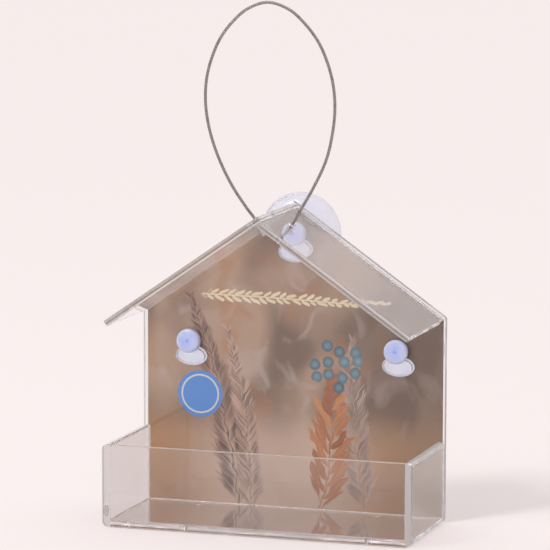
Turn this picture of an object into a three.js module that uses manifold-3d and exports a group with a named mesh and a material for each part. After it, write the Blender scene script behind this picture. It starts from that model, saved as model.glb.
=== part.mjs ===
// Window bird feeder: a tray and a gabled shelter of clear acrylic sheet, with a printed card
// behind its back panel, three suction cups in keyholes and a steel cable to hang it by.
// Millimetres. +Z is up, +X to the right seen from the front, +Y towards the window pane.
// The origin is the middle of the floor's underside.
import * as THREE from 'three';
import { mergeVertices } from 'three/addons/utils/BufferGeometryUtils.js';
import Module from 'manifold-3d';

// Overall sizes of the acrylic body
const WIDTH = 150;
const DEPTH = 60;
const HEIGHT = 150;
const SHEET = 3;
const TRAY_HEIGHT = 39;

// Gable and roof
const SHOULDER_HEIGHT = 98;
const SHOULDER_RADIUS = 2.5;
const FOOT_RADIUS = 2.8;
const RIM_RADIUS = 2;
const MOST_ROUNDED_SHARE = 0.93;
const GABLE_PROUD = 1;
const EAVE_SETBACK = 1;
const RIDGE_OVERRUN = 0.3;
const RIDGE_CLEARANCE = 0.3;

// Drain holes in the floor
const DRAIN_DIAMETER = 2;
const DRAIN_SPACING = 89;
const DRAIN_FROM_BACK = 7;

// Printed card behind the back panel
const CARD_THICKNESS = 0.5;
const CARD_INSET = 1.5;
const CARD_CUT_MARGIN = 0.9;

// Suction cup, moulded in one piece: head, neck and hollow cup
const CUP_DIAMETER = 40;
const CUP_DEPTH = 9.2;
const CUP_BOSS_DIAMETER = 13;
const CUP_CROWN = 3;
const CUP_WALL = 1.6;
const LIP_WIDTH = 1.6;
const LIP_THICKNESS = 0.9;
const NECK_DIAMETER = 5.8;
const HEAD_DIAMETER = 11.5;
const HEAD_THICKNESS = 3.6;
const HEAD_ROUNDING = 1.3;
const DIMPLE_DIAMETER = 2.6;
const DIMPLE_DEPTH = 1.2;
const CUP_CLEARANCE = 0.3;

// Keyholes for the cups: a slot for the neck over a wide, low mouth, which the flat head goes
// through on edge
const SLOT_CLEARANCE = 0.35;
const MOUTH_WIDTH = 14.4;
const MOUTH_HEIGHT = 8;
const SLOT_TRAVEL = 7.6;
const SIDE_CUP_MARGIN = 3.5;
const SIDE_CUP_DROP = 17;
const PEAK_CUP_DROP = 17;

// Hanging cable, its holes in the roof and the sleeves crimped on its ends
const CABLE_DIAMETER = 1.5;
const CABLE_HOLE_DIAMETER = 3;
const CABLE_HOLE_SPACING = 17.2;
const CABLE_LEAN_DEGREES = 6.8;
const SLEEVE_DIAMETER = 3.6;
const SLEEVE_LENGTH = 3;
const SLEEVE_CHAMFER = 0.5;
const SLEEVE_BORE_GAP = 0.3;
const SLEEVE_DROP = 2.6;

// The two sides of the cable's route in its own plane, each from its lower end towards the top of
// the loop: distance from the middle, and height over the pivot in the roof. The set in the cable
// bows the left side out lower down than the right one.
const CABLE_RIGHT = [
  [4.27, -5.01],
  [6.61, -1.64],
  [9.45, 2.47],
  [13.2, 8.8],
  [19.1, 18.6],
  [25.7, 31.8],
  [29.4, 45.3],
  [30.9, 57.8],
  [30.1, 69.3],
  [27.5, 79.3],
  [23.8, 87.7],
  [18.2, 95.3],
  [10.6, 102.1],
];
const CABLE_LEFT = [
  [4.27, -5.01],
  [6.61, -1.64],
  [9.45, 2.47],
  [14.2, 8.8],
  [20.5, 18.6],
  [26.6, 31.8],
  [30.5, 45.3],
  [31.8, 57.8],
  [30.7, 69.3],
  [27.6, 79.3],
  [23.5, 87.7],
  [17.6, 95.3],
  [9.5, 102.1],
];
const CABLE_TOP = [0.4, 105.3];

// Fineness of round forms
const ARC_STEPS = 9;
const CUP_ARC_STEPS = 4;
const CUP_SIDES = 32;
const DRAIN_SIDES = 20;
const CABLE_SIDES = 8;
const CABLE_STEPS = 78;
const CUT_OVERRUN = 1;

// Worked-out places
const FRONT = -DEPTH / 2;
const BACK = DEPTH / 2;
const INNER_WIDTH = WIDTH - 2 * SHEET;
const INNER_DEPTH = DEPTH - 2 * SHEET;
const SLOPE = Math.atan2(HEIGHT - SHOULDER_HEIGHT, WIDTH / 2);
const ROOF_PEAK = HEIGHT - GABLE_PROUD / Math.cos(SLOPE);
const EAVE_REACH = WIDTH / 2 - EAVE_SETBACK;
const SIDE_CUP_X = WIDTH / 2 - CUP_DIAMETER / 2 - SIDE_CUP_MARGIN;
const SIDE_CUP_Z = SHOULDER_HEIGHT - SIDE_CUP_DROP;
const PEAK_CUP_Z = HEIGHT - PEAK_CUP_DROP;
const CABLE_LEAN = THREE.MathUtils.degToRad(CABLE_LEAN_DEGREES);

const ACROSS = new THREE.Vector3(1, 0, 0);
const TO_WINDOW = new THREE.Vector3(0, 1, 0);
const TO_FRONT = new THREE.Vector3(0, -1, 0);
const UP = new THREE.Vector3(0, 0, 1);

// Materials
const acrylic = new THREE.MeshStandardMaterial({
  color: 0xe6e3e1, roughness: 0.05, metalness: 0, transparent: true, opacity: 0.35,
});
const card = new THREE.MeshStandardMaterial({ color: 0xa77a58, roughness: 0.6, metalness: 0 });
const softPlastic = new THREE.MeshStandardMaterial({
  color: 0xc3c8f4, roughness: 0.2, metalness: 0, transparent: true, opacity: 0.7,
});
const steelCable = new THREE.MeshStandardMaterial({ color: 0x8d8984, roughness: 0.35, metalness: 1 });
const crimpMetal = new THREE.MeshStandardMaterial({ color: 0xb6b7ba, roughness: 0.3, metalness: 1 });

// Boolean cuts
const manifold = await Module();
manifold.setup();

function solidOf(geometry) {
  const bare = geometry.clone();
  bare.deleteAttribute('normal');
  bare.deleteAttribute('uv');
  const merged = mergeVertices(bare);
  const mesh = new manifold.Mesh({
    numProp: 3,
    vertProperties: new Float32Array(merged.attributes.position.array),
    triVerts: new Uint32Array(merged.index.array),
  });
  return new manifold.Manifold(mesh);
}

function cut(body, tool) {
  const result = solidOf(body).subtract(solidOf(tool)).getMesh();
  const geometry = new THREE.BufferGeometry();
  geometry.setAttribute('position', new THREE.BufferAttribute(result.vertProperties, 3));
  geometry.setIndex(new THREE.BufferAttribute(result.triVerts, 1));
  geometry.computeVertexNormals();
  return geometry;
}

// Closed outline through corners given as x, y and radius
function roundedOutline(corners) {
  const shape = new THREE.Shape();
  corners.forEach(([x, y, radius], index) => {
    const corner = new THREE.Vector2(x, y);
    const sideTo = (other) => new THREE.Vector2(other[0], other[1]).sub(corner).normalize();
    const before = sideTo(corners.at(index - 1));
    const after = sideTo(corners[(index + 1) % corners.length]);
    const turn = Math.PI - Math.acos(before.dot(after));
    const reach = radius * Math.tan(turn / 2);
    const enter = before.multiplyScalar(reach).add(corner);
    const leave = after.multiplyScalar(reach).add(corner);
    if (index === 0) shape.moveTo(enter.x, enter.y);
    else shape.lineTo(enter.x, enter.y);
    if (radius > 0) {
      const pull = 4 / 3 * Math.tan(turn / 4) / Math.tan(turn / 2);
      const first = enter.clone().lerp(corner, pull);
      const second = leave.clone().lerp(corner, pull);
      shape.bezierCurveTo(first.x, first.y, second.x, second.y, leave.x, leave.y);
    }
  });
  shape.closePath();
  return shape;
}

// Sheet cut from an outline: the outline's x and y run along two directions, its thickness along a third
function sheetOf(outline, thickness, along, up, through) {
  const geometry = new THREE.ExtrudeGeometry(outline, {
    depth: thickness, bevelEnabled: false, curveSegments: ARC_STEPS, steps: 1,
  });
  return geometry.applyMatrix4(new THREE.Matrix4().makeBasis(along, up, through));
}

// Sheet that stands across the feeder, with its front face at y = 0
function standingSheet(outline, thickness) {
  return sheetOf(outline, thickness, ACROSS, UP, TO_FRONT).translate(0, thickness, 0);
}

function named(name, geometry, material, x = 0, y = 0, z = 0) {
  const mesh = new THREE.Mesh(geometry, material);
  mesh.name = name;
  mesh.position.set(x, y, z);
  return mesh;
}

// House-shaped outline, drawn in by an inset on every side
function houseOutline(inset, shoulderRadius, footRadius) {
  const side = WIDTH / 2 - inset;
  const peak = HEIGHT - inset / Math.cos(SLOPE);
  const shoulder = peak - side * Math.tan(SLOPE);
  return roundedOutline([
    [-side, inset, footRadius],
    [side, inset, footRadius],
    [side, shoulder, shoulderRadius],
    [0, peak, 0],
    [-side, shoulder, shoulderRadius],
  ]);
}

// Keyhole with its neck slot centred on x, z, wider all round by a margin
function keyhole(x, z, margin) {
  const slot = NECK_DIAMETER / 2 + SLOT_CLEARANCE + margin;
  const across = MOUTH_WIDTH / 2 + margin;
  const upright = MOUTH_HEIGHT / 2 + margin;
  const meets = Math.acos(slot / across);
  const mouth = z - SLOT_TRAVEL;
  const path = new THREE.Path();
  path.moveTo(x + slot, z);
  path.absarc(x, z, slot, 0, Math.PI, false);
  path.lineTo(x - slot, mouth + upright * Math.sin(meets));
  path.absellipse(x, mouth, across, upright, Math.PI - meets, 2 * Math.PI + meets, false);
  path.closePath();
  return path;
}

const CUP_PLACES = {
  left: [-SIDE_CUP_X, SIDE_CUP_Z],
  right: [SIDE_CUP_X, SIDE_CUP_Z],
  top: [0, PEAK_CUP_Z],
};

// House-shaped sheet with the three keyholes
function houseSheet(inset, shoulderRadius, footRadius, margin, thickness) {
  const outline = houseOutline(inset, shoulderRadius, footRadius);
  for (const [x, z] of Object.values(CUP_PLACES)) outline.holes.push(keyhole(x, z, margin));
  return standingSheet(outline, thickness);
}

function frontPanel() {
  const outline = roundedOutline([
    [-WIDTH / 2, 0, FOOT_RADIUS],
    [WIDTH / 2, 0, FOOT_RADIUS],
    [WIDTH / 2, TRAY_HEIGHT, RIM_RADIUS],
    [-WIDTH / 2, TRAY_HEIGHT, RIM_RADIUS],
  ]);
  return standingSheet(outline, SHEET);
}

// Side wall of the tray on one side, between the front and back panels, with its outer edges
// rounded like their corners
function sidePanel(side) {
  const outer = side * WIDTH / 2;
  const inner = side * INNER_WIDTH / 2;
  const foot = Math.min(FOOT_RADIUS, MOST_ROUNDED_SHARE * SHEET);
  const rim = Math.min(RIM_RADIUS, MOST_ROUNDED_SHARE * SHEET);
  const corners = [[inner, 0, 0], [outer, 0, foot], [outer, TRAY_HEIGHT, rim], [inner, TRAY_HEIGHT, 0]];
  const outline = roundedOutline(side > 0 ? corners : corners.reverse());
  return standingSheet(outline, INNER_DEPTH).translate(0, -INNER_DEPTH / 2, 0);
}

// Floor inside the four walls, with drain holes near its back edge
function floorPanel() {
  const outline = roundedOutline([
    [-INNER_WIDTH / 2, -INNER_DEPTH / 2, 0],
    [INNER_WIDTH / 2, -INNER_DEPTH / 2, 0],
    [INNER_WIDTH / 2, INNER_DEPTH / 2, 0],
    [-INNER_WIDTH / 2, INNER_DEPTH / 2, 0],
  ]);
  const radius = DRAIN_DIAMETER / 2;
  const row = INNER_DEPTH / 2 - DRAIN_FROM_BACK;
  for (const x of [-DRAIN_SPACING / 2, DRAIN_SPACING / 2]) {
    const turn = 2 * Math.PI / DRAIN_SIDES;
    const rim = Array.from({ length: DRAIN_SIDES }, (_, step) => new THREE.Vector2(
      x + radius * Math.cos(step * turn),
      row + radius * Math.sin(step * turn),
    ));
    outline.holes.push(new THREE.Path(rim));
  }
  return sheetOf(outline, SHEET, ACROSS, TO_WINDOW, UP);
}

// Roof panel on one side, sawn square at both ends and drilled square to its face. At the ridge the
// left one laps over the top of the right one, whose end stops under it.
function roofPanel(side) {
  const opening = 2 * SLOPE;
  const lapOver = -SHEET / Math.tan(opening) - RIDGE_OVERRUN;
  const stopUnder = (SHEET + RIDGE_CLEARANCE) / Math.sin(opening);
  const ridge = side < 0 ? lapOver : stopUnder;
  const eave = EAVE_REACH / Math.cos(SLOPE);
  const corner = (down, deep) => [
    side * (down * Math.cos(SLOPE) - deep * Math.sin(SLOPE)),
    ROOF_PEAK - down * Math.sin(SLOPE) - deep * Math.cos(SLOPE),
    0,
  ];
  const outline = roundedOutline([
    corner(ridge, 0), corner(ridge, SHEET), corner(eave, SHEET), corner(eave, 0),
  ]);
  const panel = standingSheet(outline, DEPTH - SHEET).translate(0, FRONT, 0);
  const drill = new THREE.CylinderGeometry(
    CABLE_HOLE_DIAMETER / 2, CABLE_HOLE_DIAMETER / 2, SHEET + 2 * CUT_OVERRUN, DRAIN_SIDES,
  );
  const [x, z] = cableHoleCentre();
  drill.applyQuaternion(squareToRoof(side)).translate(side * x, 0, z);
  return cut(panel, drill);
}

// Middle of a cable hole, halfway through the roof sheet: x and z
function cableHoleCentre() {
  const top = CABLE_HOLE_SPACING / 2;
  return [
    top - SHEET / 2 * Math.sin(SLOPE),
    ROOF_PEAK - top * Math.tan(SLOPE) - SHEET / 2 * Math.cos(SLOPE),
  ];
}

// Turns an upright round form, whose axis is y, square to the roof on one side
function squareToRoof(side) {
  const outward = new THREE.Vector3(side * Math.sin(SLOPE), 0, Math.cos(SLOPE));
  return new THREE.Quaternion().setFromUnitVectors(TO_WINDOW, outward);
}

// Moulded cup, turned about the y axis, with y = 0 at the front face of the back panel
function suctionCup() {
  const headBack = -CUP_CLEARANCE;
  const headFront = headBack - HEAD_THICKNESS;
  const crown = SHEET + CARD_THICKNESS + CUP_CLEARANCE;
  const mouth = crown + CUP_DEPTH;
  const rim = CUP_DIAMETER / 2;
  const lipInner = rim - LIP_WIDTH;
  const bossRadius = CUP_BOSS_DIAMETER / 2;
  const headRadius = HEAD_DIAMETER / 2;
  const dimple = DIMPLE_DIAMETER / 2;
  const outline = new THREE.Path();
  outline.moveTo(0, headFront + DIMPLE_DEPTH);
  outline.quadraticCurveTo(dimple, headFront + DIMPLE_DEPTH, dimple, headFront);
  outline.lineTo(headRadius - HEAD_ROUNDING, headFront);
  outline.quadraticCurveTo(headRadius, headFront, headRadius, headFront + HEAD_ROUNDING);
  outline.lineTo(headRadius, headBack - HEAD_ROUNDING / 2);
  outline.quadraticCurveTo(headRadius, headBack, headRadius - HEAD_ROUNDING / 2, headBack);
  outline.lineTo(NECK_DIAMETER / 2, headBack);
  outline.lineTo(NECK_DIAMETER / 2, crown);
  outline.lineTo(bossRadius - CUP_WALL, crown);
  outline.quadraticCurveTo(bossRadius, crown, bossRadius, crown + CUP_WALL);
  outline.bezierCurveTo(
    (bossRadius + rim) / 2, crown + CUP_WALL,
    rim - LIP_WIDTH, mouth - CUP_DEPTH / 2,
    rim, mouth - LIP_THICKNESS,
  );
  outline.lineTo(rim, mouth);
  outline.lineTo(lipInner, mouth);
  outline.bezierCurveTo(
    lipInner - CUP_WALL, mouth - CUP_DEPTH / 2,
    rim / 2, crown + CUP_CROWN,
    0, crown + CUP_CROWN,
  );
  return new THREE.LatheGeometry(outline.getPoints(CUP_ARC_STEPS), CUP_SIDES);
}

// Steel cable: an open loop that goes through both roof holes, in its own plane over the pivot
function hangerCable() {
  const right = CABLE_RIGHT.map(([x, height]) => new THREE.Vector3(x, 0, height));
  const left = CABLE_LEFT.map(([x, height]) => new THREE.Vector3(-x, 0, height));
  const top = new THREE.Vector3(CABLE_TOP[0], 0, CABLE_TOP[1]);
  const route = new THREE.CatmullRomCurve3([...left, top, ...right.reverse()]);
  const section = new THREE.Shape();
  for (let side = 0; side < CABLE_SIDES; side += 1) {
    const angle = (side + 1 / 2) * 2 * Math.PI / CABLE_SIDES;
    const x = CABLE_DIAMETER / 2 * Math.cos(angle);
    const y = CABLE_DIAMETER / 2 * Math.sin(angle);
    if (side === 0) section.moveTo(x, y);
    else section.lineTo(x, y);
  }
  section.closePath();
  return new THREE.ExtrudeGeometry(section, {
    steps: CABLE_STEPS, extrudePath: route, bevelEnabled: false,
  });
}

// Crimp sleeve, turned about the y axis, with its upper end at y = 0
function crimpSleeve() {
  const bore = CABLE_DIAMETER / 2 + SLEEVE_BORE_GAP;
  const outer = SLEEVE_DIAMETER / 2;
  const outline = [
    [bore, -SLEEVE_LENGTH],
    [outer - SLEEVE_CHAMFER, -SLEEVE_LENGTH],
    [outer, SLEEVE_CHAMFER - SLEEVE_LENGTH],
    [outer, -SLEEVE_CHAMFER],
    [outer - SLEEVE_CHAMFER, 0],
    [bore, 0],
    [bore, -SLEEVE_LENGTH],
  ].map(([radius, y]) => new THREE.Vector2(radius, y));
  return new THREE.LatheGeometry(outline, DRAIN_SIDES);
}

// Hanger: the cable with a sleeve on each end, leaning on its pivot in the roof holes
function hanger() {
  const [holeX, pivotHeight] = cableHoleCentre();
  const group = new THREE.Group();
  group.position.set(0, 0, pivotHeight);
  group.rotation.x = CABLE_LEAN;
  group.add(named('hanger_cable', hangerCable(), steelCable));
  for (const [name, side] of [['cable_sleeve_left', -1], ['cable_sleeve_right', 1]]) {
    const sleeve = named(name, crimpSleeve(), crimpMetal);
    sleeve.quaternion.copy(squareToRoof(side));
    sleeve.position.set(
      side * (holeX - SLEEVE_DROP * Math.sin(SLOPE)), 0, -SLEEVE_DROP * Math.cos(SLOPE),
    );
    group.add(sleeve);
  }
  return group;
}

// Tray: the floor and its four walls, of which the back one is the house-shaped panel
function body() {
  const group = new THREE.Group();
  const backPanel = houseSheet(0, SHOULDER_RADIUS, FOOT_RADIUS, 0, SHEET);
  const backingCard = houseSheet(CARD_INSET, SHOULDER_RADIUS, 0, CARD_CUT_MARGIN, CARD_THICKNESS);
  group.add(named('back_panel', backPanel, acrylic, 0, BACK - SHEET, 0));
  group.add(named('backing_card', backingCard, card, 0, BACK, 0));
  group.add(named('front_panel', frontPanel(), acrylic, 0, FRONT, 0));
  group.add(named('side_panel_left', sidePanel(-1), acrylic));
  group.add(named('side_panel_right', sidePanel(1), acrylic));
  group.add(named('floor_panel', floorPanel(), acrylic));
  group.add(named('roof_panel_left', roofPanel(-1), acrylic));
  group.add(named('roof_panel_right', roofPanel(1), acrylic));
  return group;
}

const windowFeeder = new THREE.Group();
windowFeeder.add(body());
for (const [place, [x, z]] of Object.entries(CUP_PLACES)) {
  windowFeeder.add(named(`suction_cup_${place}`, suctionCup(), softPlastic, x, BACK - SHEET, z));
}
windowFeeder.add(hanger());

export default windowFeeder;
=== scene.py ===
# Window bird feeder of clear acrylic sheet, with a printed card behind its back panel, three soft
# suction cups in keyholes and a loop of wire rope to hang it by.
# Everything is in metres, in the feeder's own frame: +X right seen from the front, +Y to the
# window pane, +Z up, with the origin in the middle of the floor's underside. Values in millimetres
# are multiplied by MM, here or, where their comment says so, in the function that uses them.
import math

import bmesh
import bpy
from mathutils import Matrix, Quaternion, Vector, noise


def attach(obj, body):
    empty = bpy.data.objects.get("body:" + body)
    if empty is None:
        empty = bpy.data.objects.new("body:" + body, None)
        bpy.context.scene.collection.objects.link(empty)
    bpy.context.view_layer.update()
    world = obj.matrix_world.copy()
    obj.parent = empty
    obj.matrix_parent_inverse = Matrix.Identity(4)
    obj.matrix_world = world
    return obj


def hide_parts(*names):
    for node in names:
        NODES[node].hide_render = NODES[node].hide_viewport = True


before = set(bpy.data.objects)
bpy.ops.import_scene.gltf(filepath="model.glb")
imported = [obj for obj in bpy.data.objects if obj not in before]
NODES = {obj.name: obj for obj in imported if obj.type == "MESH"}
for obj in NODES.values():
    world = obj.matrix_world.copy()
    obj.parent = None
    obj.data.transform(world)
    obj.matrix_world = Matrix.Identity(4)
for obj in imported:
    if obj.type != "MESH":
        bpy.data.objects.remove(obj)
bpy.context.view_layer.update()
SCENE = bpy.context.scene
MM = 0.001
ORIGIN = Vector((0, 0, 0))
X, Y, Z = Vector((1, 0, 0)), Vector((0, 1, 0)), Vector((0, 0, 1))

# The camera that took the photograph, found from the feeder's printed size, with angles in degrees
CAMERA_AZIMUTH = 18.06
CAMERA_ELEVATION = 8.19
CAMERA_ROLL = 0.13
CAMERA_DISTANCE = 1.7213
CAMERA_TARGET = Vector((0.0, 0.0, 0.1185))
CAMERA_LENS = 242.2
CAMERA_FAR = 30.0

# Acrylic sheets: their rounded edges and the roof's slope
SHEET_ROUND = 0.15 * MM
ROUND_STEPS = 2
ROOF_SLOPE = math.atan(52 / 75)

# How alike two points or faces are that count as one, how sharp an edge is that gets rounded or
# shaded as a crease, and how squarely a face of a sheet looks along the sheet's thickness
SAME_POINT = 0.001 * MM
FLAT_ENOUGH = math.radians(0.5)
ROUNDED_FROM = math.radians(40)
SHEET_CREASE = math.radians(18)
WELD_CREASE = math.radians(50)
FACE_SHARE = 0.9

# Finishes of the sheets' sawn edges: share of light let through, least and most roughness
FROSTED = (0.62, 0.28, 0.36)
POLISHED = (0.80, 0.12, 0.22)

# Across a polished edge, in shares of its thickness over the underside: where the bright brim of
# painted highlight fades, where the painted dark line of reflection lies, and how far from it the
# line fades
PAINTED_HIGHLIGHT_SHARES = (0.14, 0.22)
PAINTED_LINE_SHARE = 0.45
PAINTED_LINE_FADE_SHARES = (0.02, 0.09)

# Lines through the middle of each sheet's holes: an axis and a place on it in millimetres
SIDE_CUP = 51.5
KEYHOLE_LINES = ((X, -SIDE_CUP), (X, 0), (X, SIDE_CUP))
HOLE_LINES = {
    "back_panel": KEYHOLE_LINES,
    "backing_card": KEYHOLE_LINES,
    "floor_panel": ((Y, 20),),
    "roof_panel_left": ((Y, 0),),
    "roof_panel_right": ((Y, 0),),
}

# A keyhole's walls lie this near to a point this far below the cup's axis, in millimetres
KEYHOLE_REACH = 12
KEYHOLE_DROP = 4

# Inside faces of the tray, and the top of the welds in its upright corners, in millimetres
TRAY_BACK = 27.0
TRAY_SIDE = 72.0
FLOOR_TOP = 3.0
UPRIGHT_WELD_TOP = 38.6

# Solvent welds: the gap that they fill, their beads, and the lines of drops beside them: how far off
# the corner in millimetres, and the shares of the weld's length where they start, pass and end
WELD_GAP = 0.04 * MM
WELD_RADIUS = 0.42 * MM
WELD_STEPS = 4
WELD_STEP = 1.2 * MM
FEWEST_WELD_STEPS = 8
DROPS_ASIDE = 1.5
DROPS_RAISED = 0.05
DROPS_SHARES = (0.01, 0.5, 0.99)

# In millimetres: a dried drop of solvent on the tray's floor as its foot, radius and height, and
# the places and half sizes of a smear on the left wall's edge and of thin white slivers in the
# joint between floor and front, painted glints of the drain holes seen through the front's edge
SOLVENT_DOME = ((-17.9, 22.5, 3.02), 1.45, 1.6)
SMEAR = ((-73.0, -30.0, 7.9), (1.3, 0.3, 2.8))
HOLE_GLINT_SLIVERS = [
    ((across, -26.98, up), (half_width, 0.018, half_height))
    for across, up, half_width, half_height in (
        (-62.9, 2.1, 0.22, 0.6), (-62.4, 1.2, 0.20, 0.8), (-34.8, 1.5, 0.16, 1.2),
        (-33.2, 1.5, 0.14, 1.2), (54.1, 1.5, 0.16, 1.2), (55.9, 1.5, 0.14, 1.2),
    )
]
DOME_STEPS = 10
DOME_SIDES = 32

# Printed card behind the back panel
CARD_FRONT = 30.0 * MM
CARD_GAP = 0.1 * MM

# Wire rope of the hanger: strands laid round a core, and its place in the roof
ROPE_STRANDS = 6
STRAND_DIAMETER = 0.49 * MM
STRAND_CENTRE = 0.5 * MM
ROPE_LAY = 9.0 * MM
ROPE_STEP = 0.55 * MM
ROPE_LEAN = math.radians(6.8)
ROPE_PIVOT_HEIGHT = 141.587 * MM
STRAND_SIDES = 8
ROUTE_STEPS = 10

# The two sides of the rope's route in its own plane, from their lower ends towards the top of the
# loop, in millimetres: height over the pivot, distance from the middle on the left and on the right
ROPE_SIDES = [
    (-5.01, 4.27, 4.27), (-1.64, 6.61, 6.61), (2.47, 9.45, 9.45), (8.8, 14.2, 13.2),
    (18.6, 20.5, 19.1), (31.8, 26.6, 25.7), (45.3, 30.5, 29.4), (57.8, 31.8, 30.9),
    (69.3, 30.7, 30.1), (79.3, 27.6, 27.5), (87.7, 23.5, 23.8), (95.3, 17.6, 18.2),
    (102.1, 9.5, 10.6),
]
ROPE_TOP = (0.4, 105.3)

# Crimp sleeves on the rope's ends, and the crimp in each: its depth, its width as a share of the
# length, and the share of the radius beyond which a point is on the pressed outside
SLEEVE_RADIUS = 1.8 * MM
SLEEVE_LENGTH = 3.0 * MM
SLEEVE_BORE = 0.84 * MM
SLEEVE_TOP = (6.264 * MM, -2.137 * MM)
SLEEVE_ROUND = 0.35 * MM
SLEEVE_SIDES = 48
SLEEVE_STEPS = 26
SLEEVE_ROUND_STEPS = 5
PRESS_DEPTH = 0.3 * MM
PRESS_WIDTH_SHARE = 0.22
PRESSED_SHARE = 0.7

# Suction cup: head, neck and hollow cup in one moulding, turned about an axis along y.
# Millimetres, and distances behind the back panel's front face. A rounding given as a pair is its
# size across and along the axis.
CUP_SIDES = 96
PANEL_FRONT = 27
CUP_PLACES = {"left": (-SIDE_CUP, 81), "right": (SIDE_CUP, 81), "top": (0, 133)}
HEAD_FRONT = -3.9
HEAD_BACK = -0.3
HEAD_RADIUS = 5.75
HEAD_SWELL_RADIUS = 2.6
HEAD_SWELL = 0.06
HEAD_FRONT_ROUND = (1.4, 1.3)
HEAD_BACK_ROUND = 0.7
SEAM = -1.6
SEAM_HALF = 0.12
SEAM_PROUD = 0.06
DIMPLE_RADIUS = 0.7
DIMPLE_FLOOR = -3.3
DIMPLE_ROUND = (0.3, 0.25)
NECK_RADIUS = 2.9
NECK_ROUND = 0.35
CROWN = 3.8
BOSS_RADIUS = 6.5
CUP_WALL = 1.6
CUP_RADIUS = 20
CUP_DEPTH = 9.2
CUP_MOUTH = 13
CUP_CROWN = 3
LIP_INNER = 18.4
LIP_THICKNESS = 0.9
LIP_SQUARE = 0.5
LIP_EDGE = 0.3
LIP_ROUND = 0.35
SMALL_STEPS = 4
ROUND_HEAD_STEPS = 8
BELL_STEPS = 24

# Studio: floor under the feeder, and lamps that light a colour about as it is written
GROUND_SIZE = 6
GROUND_LEVEL = -0.3 * MM
FLOOR_GLOW = 0.25
SKY_LIGHT = 0.79
LAMP_DISTANCE = 1.2
LAMP_TARGET = Vector((0, 0, 0.1))


def colour(red, green, blue):
    """A colour given as 0 to 255, made linear."""
    def linear(level):
        share = level / 255
        return share / 12.92 if share <= 0.04045 else ((share + 0.055) / 1.055) ** 2.4
    return (linear(red), linear(green), linear(blue), 1.0)


BACKGROUND = (246, 236, 235)
ACRYLIC_IOR = 1.49
FACE_DIMMING = (0.94, 0.935, 0.94, 1.0)
TRAY_FLOOR_DIMMING = (0.50, 0.43, 0.37, 1.0)


def link(piece):
    SCENE.collection.objects.link(piece)
    return piece


def direction(azimuth, elevation):
    """A unit vector out of the scene: azimuth from the front, to the right, and elevation, in degrees."""
    azimuth, elevation = math.radians(azimuth), math.radians(elevation)
    return Vector((
        math.sin(azimuth) * math.cos(elevation),
        -math.cos(azimuth) * math.cos(elevation),
        math.sin(elevation),
    ))


def make_camera():
    back = direction(CAMERA_AZIMUTH, CAMERA_ELEVATION)
    data = bpy.data.cameras.new("camera")
    data.lens = CAMERA_LENS
    data.clip_end = CAMERA_FAR
    camera = link(bpy.data.objects.new("camera", data))
    camera.location = CAMERA_TARGET + back * CAMERA_DISTANCE
    camera.rotation_mode = "QUATERNION"
    roll = Quaternion(Z, math.radians(CAMERA_ROLL))
    camera.rotation_quaternion = (-back).to_track_quat("-Z", "Y") @ roll
    SCENE.camera = camera


make_camera()


# Short ways to write node trees
class Tree:
    def __init__(self, tree):
        self.tree = tree

    def add(self, kind, **settings):
        node = self.tree.nodes.new(kind)
        for name, value in settings.items():
            setattr(node, name, value)
        return node

    def feed(self, socket, value):
        """Links or sets an input. Three numbers for a colour are taken as 0 to 255."""
        if isinstance(value, bpy.types.NodeSocket):
            self.tree.links.new(value, socket)
        elif socket.type == "RGBA" and len(value) == 3:
            socket.default_value = colour(*value)
        else:
            socket.default_value = value

    def fill(self, node, values):
        for name, value in values.items():
            self.feed(node.inputs[name], value)
        return node

    def made(self, kind, values, output=0, **settings):
        """The output of a new node with these inputs."""
        return self.fill(self.add(kind, **settings), values).outputs[output]

    def maths(self, operation, *values):
        return self.made("ShaderNodeMath", dict(enumerate(values)), operation=operation)

    def plus(self, first, second):
        return self.maths("ADD", first, second)

    def minus(self, first, second):
        return self.maths("SUBTRACT", first, second)

    def over(self, first, second):
        return self.maths("DIVIDE", first, second)

    def times(self, first, second, *more):
        product = self.maths("MULTIPLY", first, second)
        return self.times(product, *more) if more else product

    def vector(self, operation, first, second):
        values = {0: first, "Scale" if operation == "SCALE" else 1: second}
        output = "Value" if operation == "DOT_PRODUCT" else "Vector"
        return self.made("ShaderNodeVectorMath", values, output, operation=operation)

    def length(self, vector):
        return self.maths("SQRT", self.vector("DOT_PRODUCT", vector, vector))

    def mix(self, share, first, second):
        return self.made("ShaderNodeMix", {0: share, 6: first, 7: second}, 2, data_type="RGBA")

    def blend(self, share, first, second):
        """Two shaders mixed."""
        return self.made("ShaderNodeMixShader", {0: share, 1: first, 2: second})

    def between(self, value, low, high, new_low=0.0, new_high=1.0):
        values = dict(enumerate((value, low, high, new_low, new_high)))
        return self.made("ShaderNodeMapRange", values, interpolation_type="SMOOTHSTEP")

    def fade(self, value, low, high):
        """1 below the low value, 0 above the high one."""
        return self.between(value, low, high, 1.0, 0.0)

    def tones(self, value, low, high, first, second, most=1.0):
        """One colour turning into another, by that share at most, as a value goes from low to high."""
        return self.mix(self.between(value, low, high, 0.0, most), first, second)

    def noise(self, place, scale, detail=2.0, distortion=0.0):
        values = {"Vector": place, "Scale": scale, "Detail": detail, "Distortion": distortion}
        return self.made("ShaderNodeTexNoise", values, "Fac")

    def split(self, vector):
        return self.fill(self.add("ShaderNodeSeparateXYZ"), {0: vector}).outputs

    def combine(self, *parts):
        return self.made("ShaderNodeCombineXYZ", dict(enumerate(parts)))

    def bump(self, height, distance, strength=1.0):
        values = {"Height": height, "Distance": distance, "Strength": strength}
        return self.made("ShaderNodeBump", values)

    def place(self):
        return self.add("ShaderNodeTexCoord").outputs["Object"]

    def use(self, group, **values):
        inputs = {name.replace("_", " "): value for name, value in values.items()}
        return self.fill(self.add("ShaderNodeGroup", node_tree=group), inputs).outputs


SOCKETS = {
    float: "NodeSocketFloat",
    int: "NodeSocketInt",
    Vector: "NodeSocketVector",
    type(None): "NodeSocketGeometry",
}


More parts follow.
